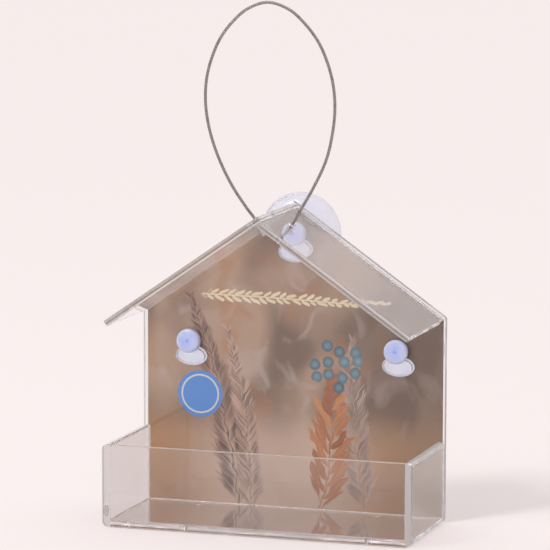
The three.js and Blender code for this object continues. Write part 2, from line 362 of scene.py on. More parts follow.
def new_group(name, inputs, outputs, kind="ShaderNodeTree"):
    """An empty node group with named inputs and outputs, each given by a value of its kind, or by
    None for a geometry. It comes with its tree, what it is given and its output node."""
    group = bpy.data.node_groups.new(name, kind)
    for side, sockets in (("INPUT", inputs), ("OUTPUT", outputs)):
        for label, value in sockets.items():
            socket = group.interface.new_socket(label, in_out=side, socket_type=SOCKETS[type(value)])
            if side == "INPUT" and value is not None:
                socket.default_value = value
    tree = Tree(group)
    return group, tree, tree.add("NodeGroupInput").outputs, tree.add("NodeGroupOutput")


def geometry_group(name, inputs):
    geometry = {"Geometry": None}
    return new_group(name, {**geometry, **inputs}, geometry, "GeometryNodeTree")


def handling_marks():
    """Faint smears and dust of something that is handled and wiped."""
    group, tree, given, made = new_group(
        "handling_marks",
        {"Place": ORIGIN, "Polish": 0.02, "Smear": 0.05, "Size": 60.0},
        {"Roughness": 0.0, "Height": 0.0},
    )
    place, size = given["Place"], given["Size"]
    smear = tree.between(tree.noise(place, size, 4.0, 1.2), 0.52, 0.75)
    dust = tree.between(tree.noise(place, tree.times(size, 22.0), 1.0), 0.70, 0.78)
    wave = tree.noise(place, tree.times(size, 0.7), 1.0)
    tree.fill(made, {
        "Roughness": tree.plus(given["Polish"], tree.times(tree.plus(smear, dust), given["Smear"])),
        "Height": tree.plus(wave, tree.times(dust, 0.02)),
    })
    return group


def saw_lines():
    """Fine lines that a saw leaves across the edge of a sheet, along no more than two directions."""
    group, tree, given, made = new_group(
        "saw_lines",
        {"Place": ORIGIN, "Along": X, "Up": Z, "Pitch": 0.3 * MM},
        {"Height": 0.0},
    )
    steps = [
        tree.over(tree.vector("DOT_PRODUCT", given["Place"], given[way]), given["Pitch"])
        for way in ("Along", "Up")
    ]
    tree.fill(made, {"Height": tree.noise(tree.combine(*steps, 0.0), 1.0, 3.0)})
    return group


HANDLING_MARKS = handling_marks()
SAW_LINES = saw_lines()


def bare_tree(owner):
    """The emptied node tree of a material or world."""
    owner.use_nodes = True
    owner.node_tree.nodes.clear()
    return Tree(owner.node_tree)


def new_material(name, values, dimming=None):
    """A material with a Principled shader and its plain values, and its tree and shader. Where a
    dimming is given, lamps and light from other surfaces pass straight through, a little dimmed at
    each face, and all other rays meet the glass."""
    material = bpy.data.materials.new(name)
    tree = bare_tree(material)
    shader = tree.fill(tree.add("ShaderNodeBsdfPrincipled"), values)
    seen = shader.outputs[0]
    if dimming:
        rays = tree.add("ShaderNodeLightPath").outputs
        clear = tree.made("ShaderNodeBsdfTransparent", {"Color": dimming})
        for kind in ("Is Diffuse Ray", "Is Shadow Ray"):
            seen = tree.blend(rays[kind], seen, clear)
    tree.fill(tree.add("ShaderNodeOutputMaterial"), {"Surface": seen})
    return material, tree, shader


def mark(tree, shader, polish, smear, size, relief=None):
    """Smears and dust in a material's roughness, and in its normal where their relief is given."""
    marks = tree.use(HANDLING_MARKS, Place=tree.place(), Polish=polish, Smear=smear, Size=size)
    tree.fill(shader, {"Roughness": marks["Roughness"]})
    if relief:
        tree.fill(shader, {"Normal": tree.bump(marks["Height"], relief)})


def clear_acrylic(name, tint, dimming=FACE_DIMMING, gloss=0.0, polish=0.0):
    """The polished faces of a sheet, with faint smears and dust."""
    material, tree, shader = new_material(name, {
        "Base Color": tint,
        "IOR": ACRYLIC_IOR,
        "Transmission Weight": 1.0,
        "Coat Weight": gloss,
        "Coat Roughness": 0.0,
        "Coat IOR": 1.7,
    }, dimming)
    mark(tree, shader, polish, 0.035, 55.0, 0.02 * MM)
    return material


def sawn_acrylic(name, along, up, low, high, tone, finish):
    """The outer edges of a sheet with its faces at these heights, sawn and partly polished, with
    faint lines across. Polished ones also have a bright brim of painted highlight near the underside
    and a painted dark line of reflection across the middle."""
    through, least, most = finish
    values = {"Base Color": tone, "IOR": ACRYLIC_IOR, "Transmission Weight": through}
    material, tree, shader = new_material(name, values, FACE_DIMMING)
    if finish == POLISHED:
        height = tree.vector("DOT_PRODUCT", tree.place(), along.cross(up))
        share = tree.over(tree.minus(height, low), high - low)
        # Painted highlight: a bright brim near the underside. Painted reflection: a dark line across the
        # middle.
        edge = tree.mix(tree.fade(share, *PAINTED_HIGHLIGHT_SHARES), tone, (1.0, 0.98, 0.96, 1))
        off_painted_line = tree.maths("ABSOLUTE", tree.minus(share, PAINTED_LINE_SHARE))
        edge = tree.mix(tree.fade(off_painted_line, *PAINTED_LINE_FADE_SHARES), edge, (0.10, 0.09, 0.09, 1))
        tree.fill(shader, {"Base Color": edge})
    lines = tree.use(SAW_LINES, Place=tree.place(), Along=along, Up=up, Pitch=0.5 * MM)["Height"]
    tree.fill(shader, {
        "Roughness": tree.between(lines, 0.3, 0.7, least, most),
        "Normal": tree.bump(lines, 0.01 * MM, 0.1),
    })
    return material


def milled_acrylic():
    """The walls of the keyholes: frosted white by the cutter, and painted darker just before the card as a
    shade line.
    """
    values = {"IOR": ACRYLIC_IOR, "Transmission Weight": 0.1}
    material, tree, shader = new_material("milled_acrylic", values, FACE_DIMMING)
    depth = tree.split(tree.place())["Y"]
    # Painted shade: the wall turns dark blue grey over its last 0.3 mm before the card
    tone = tree.tones(depth, 29.2 * MM, 29.5 * MM, (1.0, 0.98, 0.95, 1), (100, 102, 132))
    tree.fill(shader, {"Base Color": tone})
    mark(tree, shader, 0.32, 0.2, 400.0, 0.1 * MM)
    return material


def solvent_weld():
    values = {"Base Color": (0.86, 0.80, 0.77, 1), "IOR": ACRYLIC_IOR, "Transmission Weight": 0.7}
    material, tree, shader = new_material("solvent_weld", values, FACE_DIMMING)
    mark(tree, shader, 0.12, 0.25, 300.0, 0.1 * MM)
    return material


# The printed leaves' slant: how far a leaf rises for each step away from the stem, and how much
# longer and narrower it is for that than its shadow on the stem and across it
LEAF_SLANT = 1.35
LEAF_STRETCH = 1.68
LEAF_NARROWING = 0.6


def printed_sprig():
    """A stem with pairs of narrow leaves, for a print. Lengths are in millimetres."""
    group, tree, given, made = new_group(
        "printed_sprig",
        {
            "Place": ORIGIN, "Foot": ORIGIN, "Lean": 0.0, "Bend": 0.0, "Length": 60.0,
            "Leaf Length": 12.0, "Leaf Width": 2.4, "Pitch": 5.0, "Blur": 0.25, "Seed": 0.0,
        },
        {"Mask": 0.0, "Shade": 0.0},
    )
    wave = tree.minus(tree.noise(given["Place"], 0.16, 1.0), 0.5)
    waved = tree.vector("ADD", given["Place"], tree.combine(tree.times(wave, 5.0), 0.0, 0.0))
    from_foot = tree.split(tree.vector("SUBTRACT", waved, given["Foot"]))
    sine = tree.maths("SINE", given["Lean"])
    cosine = tree.maths("COSINE", given["Lean"])
    rise = tree.plus(tree.times(from_foot["Z"], cosine), tree.times(from_foot["X"], sine))
    aside = tree.minus(tree.times(from_foot["X"], cosine), tree.times(from_foot["Z"], sine))
    aside = tree.minus(aside, tree.times(rise, rise, given["Bend"]))
    side = tree.maths("SIGN", aside)
    off_stem = tree.maths("ABSOLUTE", aside)
    # Each leaf leaves the stem at a slant, so it is found by sliding back along that slant, and the
    # leaves of the two sides take turns
    root = tree.minus(rise, tree.times(off_stem, LEAF_SLANT))
    root = tree.plus(root, tree.times(side, 0.25, given["Pitch"]))
    count = tree.maths("ROUND", tree.over(root, given["Pitch"]))
    chance = {"Vector": tree.combine(count, side, given["Seed"])}
    luck = tree.made("ShaderNodeTexWhiteNoise", chance, "Value", noise_dimensions="3D")
    across = tree.times(tree.minus(root, tree.times(count, given["Pitch"])), LEAF_NARROWING)
    off_rib = tree.maths("ABSOLUTE", across)
    root_share = tree.over(root, given["Length"])
    own_share = tree.plus(tree.times(luck, 0.4), 0.7)
    shorter = tree.between(root_share, 0.35, 1.05, 1.0, 0.25)
    reach = tree.times(given["Leaf Length"], tree.times(shorter, own_share))
    out = tree.over(tree.times(off_stem, LEAF_STRETCH), reach)
    swell = tree.times(out, tree.minus(1.0, out), 4.0)
    half_width = tree.times(given["Leaf Width"], 0.5, swell)
    leaf = tree.times(
        tree.between(tree.minus(half_width, off_rib), 0.0, given["Blur"]),
        tree.maths("LESS_THAN", out, 1.0),
        tree.between(root_share, 0.0, 0.02),
        tree.fade(root_share, 0.98, 1.0),
    )
    rise_share = tree.over(rise, given["Length"])
    stem = tree.times(
        tree.fade(off_stem, 0.2, 0.6),
        tree.between(rise_share, 0.0, 0.01),
        tree.fade(rise_share, 0.99, 1.0),
    )
    rib = tree.between(off_rib, 0.0, 0.3, 0.35, 0.0)
    tree.fill(made, {
        "Mask": tree.maths("MAXIMUM", leaf, stem),
        "Shade": tree.plus(tree.times(luck, 0.65), rib),
    })
    return group


def printed_berries():
    """Round berries in a loose heap, for a print. Lengths are in millimetres."""
    group, tree, given, made = new_group(
        "printed_berries",
        {"Place": ORIGIN, "Middle": ORIGIN, "Spread": 16.0, "Berry": 6.0},
        {"Mask": 0.0, "Shade": 0.0},
    )
    parts = tree.split(tree.vector("SUBTRACT", given["Place"], given["Middle"]))
    cells = tree.add("ShaderNodeTexVoronoi", voronoi_dimensions="2D", feature="F1")
    tree.fill(cells, {
        "Vector": tree.combine(parts["X"], parts["Z"], 0.0),
        "Randomness": 0.55,
        "Scale": tree.over(1.0, given["Berry"]),
    })
    distance = cells.outputs["Distance"]
    middle = tree.split(cells.outputs["Position"])
    apart = tree.length(tree.combine(middle["X"], middle["Y"], 0.0))
    lit = tree.times(tree.fade(distance, 0.0, 0.45), 0.6)
    own = tree.times(tree.split(cells.outputs["Color"])["X"], 0.4)
    near = tree.maths("LESS_THAN", apart, given["Spread"])
    tree.fill(made, {
        "Mask": tree.times(tree.fade(distance, 0.40, 0.46), near),
        "Shade": tree.plus(lit, own),
    })
    return group


PRINTED_SPRIG = printed_sprig()
PRINTED_BERRIES = printed_berries()

# The print, in millimetres across and up. Its sprigs from the back to the front: foot, lean, bend,
# length, leaf length, leaf width and pitch, then the dark and the light colour.
SPRIGS = [
    ((36, 4), -0.20, 0.0014, 82, 15, 1.2, 1.5, (132, 104, 90), (210, 184, 168)),
    ((-27, 2), -0.12, -0.0012, 104, 17, 1.2, 1.35, (48, 30, 28), (196, 152, 130)),
    ((-21, 0), 0.0, -0.0016, 88, 12, 1.0, 1.15, (78, 50, 44), (232, 196, 174)),
    ((14, 3), 0.22, -0.0022, 66, 20, 4.2, 6.2, (166, 84, 40), (232, 164, 100)),
    ((-47, 103.5), 1.57, 0.0003, 94, 6.2, 2.2, 4.3, (238, 218, 178), (250, 238, 208)),
]
# Heap of berries: middle, spread, width of a berry, dark and light colour
BERRY_HEAP = ((22, 72), 13.0, 6.4, (62, 92, 108), (128, 164, 176))
# Disc with a ring inside: middle, radius, colour of the disc and of the ring
DISC = ((-47, 55), 11.4, (80, 148, 230), (230, 230, 218))
RING_SHARE = 0.8


def blurred_field(tree, place):
    """The print's background: blurred autumn colours, dimmer to the right, and lighter low down as painted
    light where the tray shades the card.
    """
    parts = tree.split(place)
    soft = tree.combine(parts["X"], 0.0, tree.times(parts["Z"], 0.8))
    base = tree.noise(soft, 0.024, 1.5, 0.6)
    field = tree.tones(base, 0.36, 0.64, (122, 96, 78), (188, 156, 130))
    warm = tree.noise(soft, 0.045, 2.0, 0.8)
    field = tree.tones(warm, 0.54, 0.72, field, (184, 122, 74), 0.6)
    pale = tree.noise(tree.vector("ADD", soft, Vector((90, 0, 40))), 0.06, 3.0, 1.0)
    field = tree.tones(pale, 0.52, 0.74, field, (198, 178, 168), 0.6)
    field = tree.tones(parts["X"], 5.0, 70.0, field, (98, 74, 54), 0.62)
    # Painted light: the low part of the card, which the tray shades, is made lighter, palest in the middle
    low = tree.times(tree.fade(parts["Z"], 30.0, 56.0), tree.between(parts["X"], 30.0, 72.0, 0.75, 0.3))
    end = tree.maths("ABSOLUTE", tree.plus(parts["X"], 8.0))
    return tree.mix(low, field, tree.tones(end, 16.0, 62.0, (238, 204, 182), (200, 144, 92)))


def printed_card():
    """The card's printed face: blurred autumn colours with leafy sprigs, berries and a plain disc."""
    material, tree, shader = new_material("printed_card", {"Specular IOR Level": 0.35})
    place = tree.vector("SCALE", tree.place(), 1 / MM)
    field = blurred_field(tree, place)
    for number, (foot, lean, bend, length, leaf, width, pitch, dark, light) in enumerate(SPRIGS):
        sprig = tree.use(
            PRINTED_SPRIG, Place=place, Foot=Vector((foot[0], 0, foot[1])), Lean=lean, Bend=bend,
            Length=length, Leaf_Length=leaf, Leaf_Width=width, Pitch=pitch, Seed=number * 3.7,
        )
        ink = tree.mix(sprig["Shade"], dark, light)
        field = tree.mix(tree.times(sprig["Mask"], 0.97), field, ink)
    (across, up), spread, berry, dark, light = BERRY_HEAP
    middle = Vector((across, 0, up))
    heap = tree.use(PRINTED_BERRIES, Place=place, Middle=middle, Spread=spread, Berry=berry)
    field = tree.mix(heap["Mask"], field, tree.mix(heap["Shade"], dark, light))
    (across, up), radius, blue, rim = DISC
    from_disc = tree.vector("SUBTRACT", place, Vector((across, 0, up)))
    away = tree.length(tree.vector("MULTIPLY", from_disc, X + Z))
    field = tree.mix(tree.fade(away, radius - 0.2, radius), field, blue)
    off_ring = tree.maths("ABSOLUTE", tree.minus(away, radius * RING_SHARE))
    field = tree.mix(tree.fade(off_ring, 0.3, 0.5), field, rim)
    mark(tree, shader, 0.42, 0.15, 40.0)
    tree.fill(shader, {
        "Base Color": tree.tones(tree.noise(place, 9.0, 1.0), 0.3, 0.7, field, (90, 76, 66), 0.10),
        "Normal": tree.bump(tree.noise(place, 4.0, 3.0), 0.01 * MM),
    })
    return material


def card_board():
    material, tree, shader = new_material("card_board", {"Specular IOR Level": 0.3})
    stretched = tree.vector("MULTIPLY", tree.place(), Vector((1, 1, 0.35)))
    fibres = tree.noise(stretched, 2600.0, 4.0, 0.5)
    flecks = tree.noise(tree.place(), 700.0, 2.0)
    paper = tree.tones(fibres, 0.35, 0.65, (205, 200, 193), (236, 233, 228))
    tree.fill(shader, {
        "Base Color": tree.tones(flecks, 0.66, 0.74, paper, (176, 166, 154), 0.5),
        "Roughness": tree.between(fibres, 0.2, 0.8, 0.65, 0.85),
        "Normal": tree.bump(fibres, 0.02 * MM),
    })
    return material


def shaded_cut_board():
    """The card's cut edges round the keyholes, painted dark as shade."""
    material, tree, shader = new_material("shaded_cut_board", {"Specular IOR Level": 0.2})
    fibres = tree.noise(tree.place(), 1800.0, 3.0, 0.5)
    tree.fill(shader, {
        "Base Color": tree.tones(fibres, 0.35, 0.65, (84, 84, 104), (112, 110, 130)),
        "Roughness": tree.between(fibres, 0.2, 0.8, 0.6, 0.85),
        "Normal": tree.bump(fibres, 0.02 * MM),
    })
    return material


def soft_vinyl(name, through, scatter, near, far, tints):
    """Soft plastic with a blue violet tint, in a light cloud of two tints near the cup's axis and of
    two others far from it. Both distances are in millimetres."""
    material, tree, shader = new_material(name, {
        "IOR": 1.5,
        "Transmission Weight": through,
        "Subsurface Weight": scatter,
        "Subsurface Radius": (1.0, 1.0, 1.2),
        "Subsurface Scale": 3.5 * MM,
    })
    parts = tree.split(tree.place())
    away = 1.0
    for across, up in CUP_PLACES.values():
        off = [tree.minus(parts["X"], across * MM), 0.0, tree.minus(parts["Z"], up * MM)]
        away = tree.maths("MINIMUM", away, tree.length(tree.combine(*off)))
    cloud = tree.noise(tree.place(), 260.0, 3.0, 0.4)
    thick, thin = (tree.tones(cloud, 0.35, 0.65, *pair) for pair in (tints[:2], tints[2:]))
    tree.fill(shader, {"Base Color": tree.tones(away, near * MM, far * MM, thick, thin)})
    mark(tree, shader, 0.10, 0.12, 160.0, 0.08 * MM)
    return material


def drawn_steel():
    """Bright drawn wire: the fine wires of each strand show as slanting lines."""
    material, tree, shader = new_material("drawn_steel", {"Metallic": 1.0})
    section = tree.split(tree.add("ShaderNodeAttribute", attribute_name="section").outputs["Vector"])
    along = tree.add("ShaderNodeAttribute", attribute_name="along").outputs["Fac"]
    turn = tree.maths("ARCTAN2", section["Y"], section["X"])
    slant = tree.plus(tree.times(turn, 6.0), tree.times(along, 4.5 / MM))
    wires = tree.plus(tree.times(tree.maths("SINE", slant), 0.5), 0.5)
    metal = tree.mix(wires, (120, 113, 111), (206, 198, 196))
    grime = tree.noise(tree.place(), 420.0, 3.0)
    tree.fill(shader, {
        "Base Color": tree.tones(grime, 0.5, 0.75, metal, (130, 122, 119), 0.6),
        "Roughness": tree.between(grime, 0.3, 0.8, 0.36, 0.55),
        "Normal": tree.bump(wires, 0.05 * MM),
    })
    return material


def pressed_aluminium():
    material, tree, shader = new_material("pressed_aluminium", {"Metallic": 1.0})
    stretched = tree.vector("MULTIPLY", tree.place(), Vector((1, 1, 0.15)))
    scratches = tree.noise(stretched, 2400.0, 3.0)
    tone = tree.tones(scratches, 0.35, 0.65, (168, 169, 172), (206, 207, 210))
    mark(tree, shader, 0.28, 0.18, 500.0)
    tree.fill(shader, {"Base Color": tone, "Normal": tree.bump(scratches, 0.03 * MM)})
    return material


CLEAR_ACRYLIC = clear_acrylic("clear_acrylic", (0.90, 0.895, 0.90, 1))
# Painted reflection and shade: the tray floor is tinted brown and dark for the card's mirror image in it
# and the shade beneath it, and its dimming lets less light reach the ground under it
SHADED_TRAY_FLOOR_ACRYLIC = clear_acrylic("shaded_tray_floor_acrylic", (0.72, 0.67, 0.61, 1), TRAY_FLOOR_DIMMING, 1.0)
ROOF_ACRYLIC = clear_acrylic("roof_acrylic", (0.90, 0.895, 0.90, 1), polish=0.015)
# Painted light and shade: the front sheet is tinted lighter and the walls darker than the same acrylic
# elsewhere
LIT_FRONT_ACRYLIC = clear_acrylic("lit_front_acrylic", (0.99, 0.985, 0.99, 1))
SHADED_WALL_ACRYLIC = clear_acrylic("shaded_wall_acrylic", (0.85, 0.845, 0.85, 1))
DRIED_SOLVENT = clear_acrylic("dried_solvent", (0.76, 0.74, 0.73, 1))
WELDED_EDGE = clear_acrylic("welded_edge", (0.66, 0.64, 0.64, 1))
MILLED_ACRYLIC = milled_acrylic()
SOLVENT_WELD = solvent_weld()
PRINTED_CARD = printed_card()
CARD_BOARD = card_board()
SHADED_CUT_BOARD = shaded_cut_board()
VINYL_HEAD = soft_vinyl(
    "vinyl_head", 0.14, 1.0, 0.6, 4.8,
    ((178, 190, 246), (188, 199, 252), (196, 205, 255), (206, 213, 255)),
)
VINYL_BELL = soft_vinyl(
    "vinyl_bell", 0.86, 0.3, 7.0, 16.0,
    ((229, 236, 255), (235, 241, 255), (236, 240, 255), (243, 245, 255)),
)
DRAWN_STEEL = drawn_steel()
PRESSED_ALUMINIUM = pressed_aluminium()


def piece_of(name, mesh, materials, body="feeder", smooth=True):
    """A finished piece that rides on a body and takes its finish from a slot."""
    for material in materials:
        mesh.materials.append(material)
    if smooth:
        mesh.polygons.foreach_set("use_smooth", [True] * len(mesh.polygons))
    piece = link(bpy.data.objects.new(name, mesh))
    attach(piece, body)
    return piece


def mesh_of(name, shape):
    mesh = bpy.data.meshes.new(name)
    shape.to_mesh(mesh)
    shape.free()
    return mesh


def settled(name, source):
    """The mesh that an object's modifiers make of it. The object itself goes."""
    mesh = bpy.data.meshes.new_from_object(source.evaluated_get(bpy.context.evaluated_depsgraph_get()))
    mesh.name = name
    bpy.data.objects.remove(source)
    return mesh


# The wire rope
def rope_route():
    """Points of the rope's centre line: a smooth curve through the route, leaning on its pivot. The
    curve is a centripetal one, so it doesn't overshoot between points that lie unevenly."""
    heights, lefts, rights = zip(*ROPE_SIDES)
    left = [Vector((-out, height)) for out, height in zip(lefts, heights)]
    right = [Vector((out, height)) for out, height in zip(rights, heights)]
    knots = [*left, Vector(ROPE_TOP), *right[::-1]]
    knots = [2 * knots[0] - knots[1], *knots, 2 * knots[-1] - knots[-2]]
    points = []
    for four in zip(knots, knots[1:], knots[2:], knots[3:]):
        before, start, end, after = four
        first, middle, last = (math.sqrt((b - a).length) for a, b in zip(four, four[1:]))
        leave = (start - before) / first - (end - before) / (first + middle) + (end - start) / middle
        arrive = (end - start) / middle - (after - start) / (middle + last) + (after - end) / last
        leave, arrive = leave * middle, arrive * middle
        for step in range(ROUTE_STEPS):
            t = step / ROUTE_STEPS
            points.append(
                start + leave * t + (3 * (end - start) - 2 * leave - arrive) * t * t
                + (2 * (start - end) + leave + arrive) * t ** 3
            )
    points.append(knots[-2])
    fore, up = -math.sin(ROPE_LEAN), math.cos(ROPE_LEAN)
    return [Vector((x, height * fore, height * up)) * MM + Z * ROPE_PIVOT_HEIGHT for x, height in points]


def line_mesh(name, lines):
    """A mesh of bare edges along each line of points."""
    mesh = bpy.data.meshes.new(name)
    points, edges = [], []
    for line in lines:
        edges += [(len(points) + step, len(points) + step + 1) for step in range(len(line) - 1)]
        points += line
    mesh.from_pydata(points, edges, [])
    return mesh


def grown(name, mesh, group):
    """The plain mesh that a Geometry Nodes tree makes from a mesh."""
    source = link(bpy.data.objects.new(name + "_line", mesh))
    source.modifiers.new(name, "NODES").node_group = group
    return settled(name, source)


def finish_geometry(tree, made, geometry, material):
    """The end of every tree: real meshes, smooth, with their material."""
    real = tree.made("GeometryNodeRealizeInstances", {0: geometry})
    smooth = tree.made("GeometryNodeSetShadeSmooth", {0: real})
    dressed = tree.made("GeometryNodeSetMaterial", {0: smooth, "Material": material})
    tree.feed(made.inputs[0], dressed)


def twisted_rope():
    """Strands laid round a core along a line. Each strand carries its own section as an attribute."""
    group, tree, given, made = geometry_group("twisted_rope", {
        "Strands": ROPE_STRANDS,
        "Strand Diameter": STRAND_DIAMETER,
        "Centre Radius": STRAND_CENTRE,
        "Lay": ROPE_LAY,
        "Step": ROPE_STEP,
        "Sides": STRAND_SIDES,
    })
    line = tree.made("GeometryNodeMeshToCurve", {0: given["Geometry"]})
    even = {"Curve": line, "Length": given["Step"]}
    line = tree.made("GeometryNodeResampleCurve", even, mode="LENGTH")
    along = tree.add("GeometryNodeSplineParameter").outputs["Length"]
    marked = tree.add("GeometryNodeStoreNamedAttribute", data_type="FLOAT", domain="POINT")
    line = tree.fill(marked, {"Geometry": line, "Name": "along", "Value": along}).outputs[0]
    copies = tree.add("GeometryNodeDuplicateElements", domain="SPLINE")
    tree.fill(copies, {"Geometry": line, "Amount": given["Strands"]})
    share = tree.over(copies.outputs["Duplicate Index"], given["Strands"])
    angle = tree.times(tree.plus(share, tree.over(along, given["Lay"])), math.tau)
    normal = tree.add("GeometryNodeInputNormal").outputs["Normal"]
    sideways = tree.vector("CROSS_PRODUCT", tree.add("GeometryNodeInputTangent").outputs[0], normal)
    out, over = (
        tree.vector("SCALE", way, tree.times(tree.maths(part, angle), given["Centre Radius"]))
        for way, part in ((normal, "COSINE"), (sideways, "SINE"))
    )
    laid = {"Geometry": copies.outputs["Geometry"], "Offset": tree.vector("ADD", out, over)}
    laid = tree.made("GeometryNodeSetPosition", laid)
    both = tree.add("GeometryNodeJoinGeometry")
    for strand in (laid, line):
        tree.tree.links.new(strand, both.inputs[0])
    radius = tree.times(given["Strand Diameter"], 0.5)
    ring = {"Resolution": given["Sides"], "Radius": radius}
    ring = tree.made("GeometryNodeCurvePrimitiveCircle", ring, "Curve", mode="RADIUS")
    place = tree.add("GeometryNodeInputPosition").outputs[0]
    section = tree.add("GeometryNodeStoreNamedAttribute", data_type="FLOAT_VECTOR", domain="POINT")
    section = tree.fill(section, {"Geometry": ring, "Name": "section", "Value": place}).outputs[0]
    tubes = {"Curve": both.outputs[0], "Profile Curve": section, "Fill Caps": True}
    finish_geometry(tree, made, tree.made("GeometryNodeCurveToMesh", tubes), DRAWN_STEEL)
    return group


def make_rope():
    route = rope_route()
    mesh = grown("twisted_rope", line_mesh("rope_route", [route]), twisted_rope())
    rope = piece_of("hanging_rope", mesh, [], "hanger", False)
    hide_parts("hanger_cable")
    return rope, route


def skin(shape, rings):
    """Faces from each ring of points to the next. A ring of a single point is a tip."""
    for first, second in zip(rings, rings[1:]):
        sides = max(len(first), len(second))
        for step in range(sides):
            after = (step + 1) % sides
            corners = [first[step % len(first)], first[after % len(first)],
                       second[after % len(second)], second[step % len(second)]]
            shape.faces.new(list(dict.fromkeys(corners)))


# Shapes that are turned about an axis
def turned(name, profile, middle, axis, across, sides, press=None):
    """A closed mesh of (radius, distance along the axis) turned about the axis through the middle."""
    other = axis.cross(across)
    shape = bmesh.new()
    rings = []
    for radius, along in profile:
        if radius < SAME_POINT:
            rings.append([shape.verts.new(middle + axis * along)])
            continue
        ring = []
        for step in range(sides):
            turn = math.tau * step / sides
            reach = radius - (press(radius, along, turn) if press else 0.0)
            spoke = across * math.cos(turn) + other * math.sin(turn)
            ring.append(shape.verts.new(middle + axis * along + spoke * reach))
        rings.append(ring)
    closed = len(rings[0]) > 1 and len(rings[-1]) > 1
    skin(shape, rings + rings[:1] if closed else rings)
    bmesh.ops.recalc_face_normals(shape, faces=shape.faces)
    return mesh_of(name, shape)


def bow(outline, steps, *pulls):
    """Carries an outline on, by a Bezier curve from its last point to the last of the pulls."""
    knots = [Vector(point) for point in (outline[-1], *pulls)]
    for step in range(1, steps + 1):
        line = knots
        while len(line) > 1:
            line = [a.lerp(b, step / steps) for a, b in zip(line, line[1:])]
        outline.append(tuple(line[0]))


def cup_profile():
    """Half outline of a suction cup in metres: radius, and distance behind the panel's front face."""
    aside, behind = DIMPLE_ROUND
    outline = [(0, DIMPLE_FLOOR)]
    bow(outline, 5, (DIMPLE_RADIUS, DIMPLE_FLOOR), (DIMPLE_RADIUS, HEAD_FRONT + behind))
    bow(outline, 3, (DIMPLE_RADIUS, HEAD_FRONT), (DIMPLE_RADIUS + aside, HEAD_FRONT))
    aside, behind = HEAD_FRONT_ROUND
    outline += [(HEAD_SWELL_RADIUS, HEAD_FRONT - HEAD_SWELL), (HEAD_RADIUS - aside, HEAD_FRONT)]
    bow(outline, ROUND_HEAD_STEPS, (HEAD_RADIUS, HEAD_FRONT), (HEAD_RADIUS, HEAD_FRONT + behind))
    outline += [
        (HEAD_RADIUS, SEAM - SEAM_HALF),
        (HEAD_RADIUS + SEAM_PROUD, SEAM),
        (HEAD_RADIUS, SEAM + SEAM_HALF),
        (HEAD_RADIUS, HEAD_BACK - HEAD_BACK_ROUND),
    ]
    bow(outline, 5, (HEAD_RADIUS, HEAD_BACK), (HEAD_RADIUS - HEAD_BACK_ROUND, HEAD_BACK))
    outline += [(NECK_RADIUS + NECK_ROUND, HEAD_BACK)]
    bow(outline, SMALL_STEPS, (NECK_RADIUS, HEAD_BACK), (NECK_RADIUS, HEAD_BACK + NECK_ROUND))
    outline += [(NECK_RADIUS, CROWN - NECK_ROUND)]
    bow(outline, SMALL_STEPS, (NECK_RADIUS, CROWN), (NECK_RADIUS + NECK_ROUND, CROWN))
    outline += [(BOSS_RADIUS - CUP_WALL, CROWN)]
    bow(outline, ROUND_HEAD_STEPS, (BOSS_RADIUS, CROWN), (BOSS_RADIUS, CROWN + CUP_WALL))
    half_way = CUP_MOUTH - CUP_DEPTH / 2
    bow(
        outline, BELL_STEPS,
        ((BOSS_RADIUS + CUP_RADIUS) / 2, CROWN + CUP_WALL),
        (LIP_INNER, half_way),
        (CUP_RADIUS, CUP_MOUTH - LIP_THICKNESS),
    )
    bow(outline, 2, (CUP_RADIUS, CUP_MOUTH - LIP_SQUARE), (CUP_RADIUS, CUP_MOUTH - LIP_EDGE))
    bow(outline, SMALL_STEPS, (CUP_RADIUS, CUP_MOUTH), (CUP_RADIUS - LIP_ROUND, CUP_MOUTH))
    outline += [(LIP_INNER, CUP_MOUTH)]
    bow(
        outline, BELL_STEPS,
        (LIP_INNER - CUP_WALL, half_way),
        (CUP_RADIUS / 2, CROWN + CUP_CROWN),
        (0, CROWN + CUP_CROWN),
    )
    return [(radius * MM, along * MM) for radius, along in outline]


def make_suction_cups():
    for side, (across, up) in CUP_PLACES.items():
        middle = Vector((across, PANEL_FRONT, up)) * MM
        mesh = turned(side + "_cup_moulding", cup_profile(), middle, Y, X, CUP_SIDES)
        for face in mesh.polygons:
            face.material_index = int(face.center.y > PANEL_FRONT * MM)
        cup = piece_of(side + "_cup_moulding", mesh, [VINYL_HEAD, VINYL_BELL], "cup_" + side)
        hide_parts("suction_cup_" + side)


def pressed_in(radius, along, turn):
    """How far the crimping tool pressed the sleeve's outside in, on two opposite sides."""
    if radius < SLEEVE_RADIUS * PRESSED_SHARE:
        return 0.0
    off_middle = along / SLEEVE_LENGTH - 0.5
    return PRESS_DEPTH * math.exp(-(off_middle / PRESS_WIDTH_SHARE) ** 2) * math.cos(turn) ** 4


